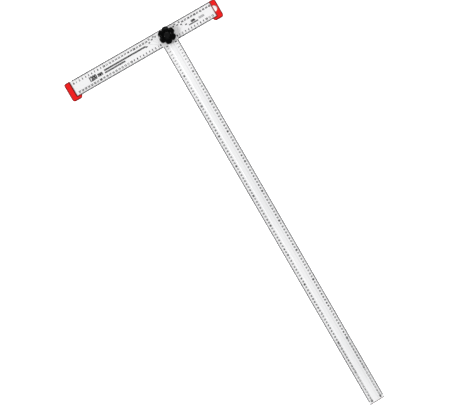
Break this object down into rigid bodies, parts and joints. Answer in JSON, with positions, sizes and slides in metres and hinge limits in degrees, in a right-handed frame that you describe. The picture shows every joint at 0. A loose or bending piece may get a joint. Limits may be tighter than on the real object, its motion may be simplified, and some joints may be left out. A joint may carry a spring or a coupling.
{
  "type": "adjustable t-square",
  "caption": "Adjustable drywall T-square: long graduated aluminium blade pivoting on a graduated head, clamped at any angle by a star knob.",
  "frame": {"origin": "centre of the tool's footprint, on the plane of the head's back, with the blade square to the head", "axes": "+X along the head towards its short side, -Y along the blade away from the head, +Z out of the printed faces"},
  "size_m": [0.4996, 1.2606, 0.0362],
  "materials": {
    "head_aluminium": "satin anodised, black printed scales",
    "blade_aluminium": "satin anodised, black printed scales",
    "cap_plastic": "moulded red plastic",
    "clip_plastic": "moulded dark plastic",
    "screw_steel": "zinc plated",
    "bolt_steel": "zinc plated",
    "washer_steel": "zinc plated",
    "spring_steel": "phosphated",
    "bush_nylon": "natural nylon",
    "knob_plastic": "black moulded plastic with a slight sheen",
    "cover_plastic": "black moulded plastic",
    "insert_brass": "turned brass"
  },
  "bodies": {
    "head": {"head_bar": "head_aluminium", "left_end_cap": "cap_plastic", "right_end_cap": "cap_plastic", "left_cap_screws": "screw_steel", "right_cap_screws": "screw_steel", "pivot_bolt": "bolt_steel"},
    "blade_arm": {"blade": "blade_aluminium", "blade_top_clip": "clip_plastic", "blade_tip_clip": "clip_plastic", "pivot_bush": "bush_nylon", "flat_washer": "washer_steel"},
    "lock_washer": {"spring_washer": "spring_steel"},
    "knob": {"knob_body": "knob_plastic", "knob_insert": "insert_brass", "knob_cover": "cover_plastic"}
  },
  "joints": [
    {"name": "blade_swing", "type": "hinge", "parent": "head", "child": "blade_arm", "pos_m": [0.07625, 0.60469, 0.0115], "axis": [0, 0, 1], "range_deg": [-78, 66]},
    {"name": "knob_lift", "type": "slide", "parent": "head", "child": "lock_washer", "axis": [0, 0, 1], "range_m": [0, 0.00251]},
    {"name": "knob_turn", "type": "hinge", "parent": "lock_washer", "child": "knob", "pos_m": [0.07625, 0.60469, 0.025], "axis": [0, 0, 1], "range_deg": [0, 720]}
  ],
  "couplings": [
    {"joint": "knob_lift", "follows": "knob_turn", "m_per_rad": 0.00019894}
  ]
}
